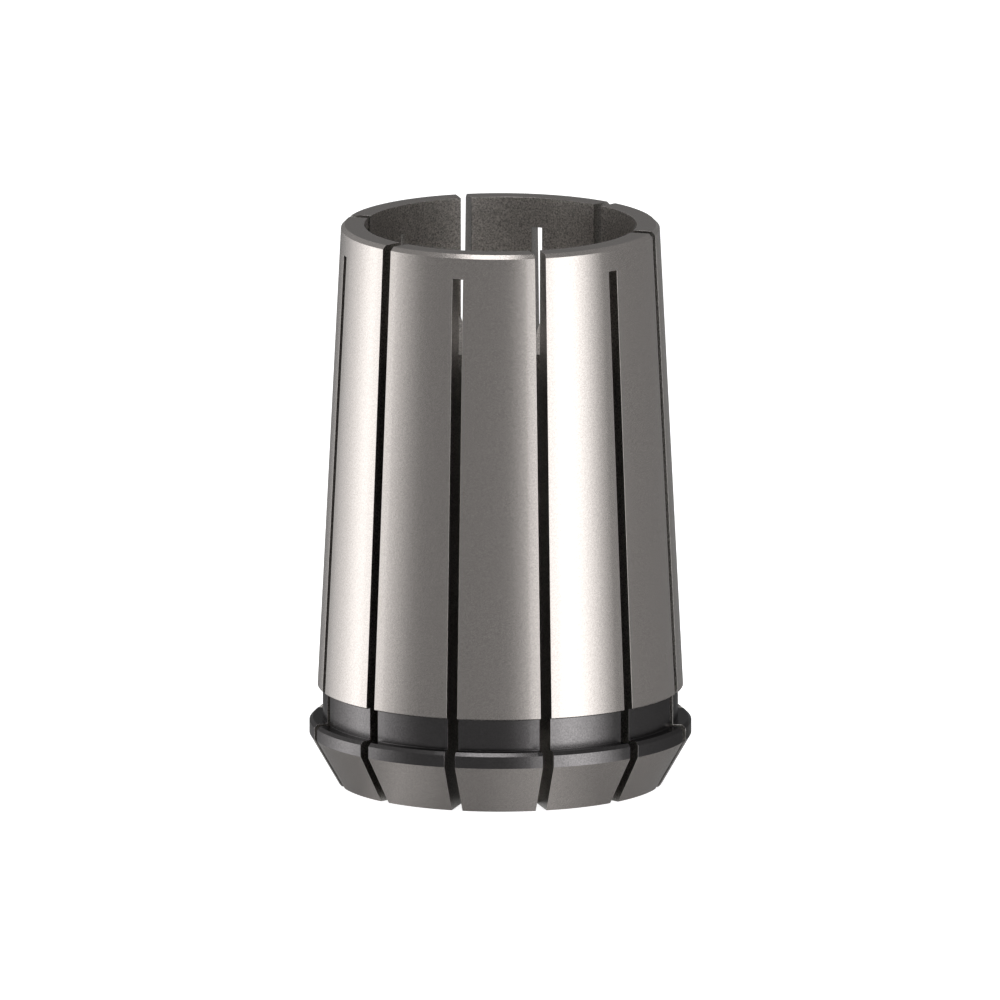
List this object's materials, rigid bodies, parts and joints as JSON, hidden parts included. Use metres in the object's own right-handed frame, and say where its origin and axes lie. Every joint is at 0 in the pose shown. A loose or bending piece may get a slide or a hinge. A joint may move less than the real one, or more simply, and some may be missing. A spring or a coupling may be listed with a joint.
{
  "type": "spring collet",
  "caption": "One-piece slotted spring collet with a long outer taper, a nut groove behind its cone nose and a stepped bore, for clamping round tool shanks.",
  "frame": {"origin": "centre of the nose face, where the gripping bore opens and where the collet stands", "axes": "+Z along the collet's axis, from the nose face up to the narrow end; +X points at the middle of a jaw"},
  "size_m": [0.035, 0.035, 0.052],
  "materials": {
    "ground_steel": "satin ground, with a black finish in the groove and on the collar"
  },
  "bodies": {
    "root": {"collet": "ground_steel"}
  },
  "joints": []
}
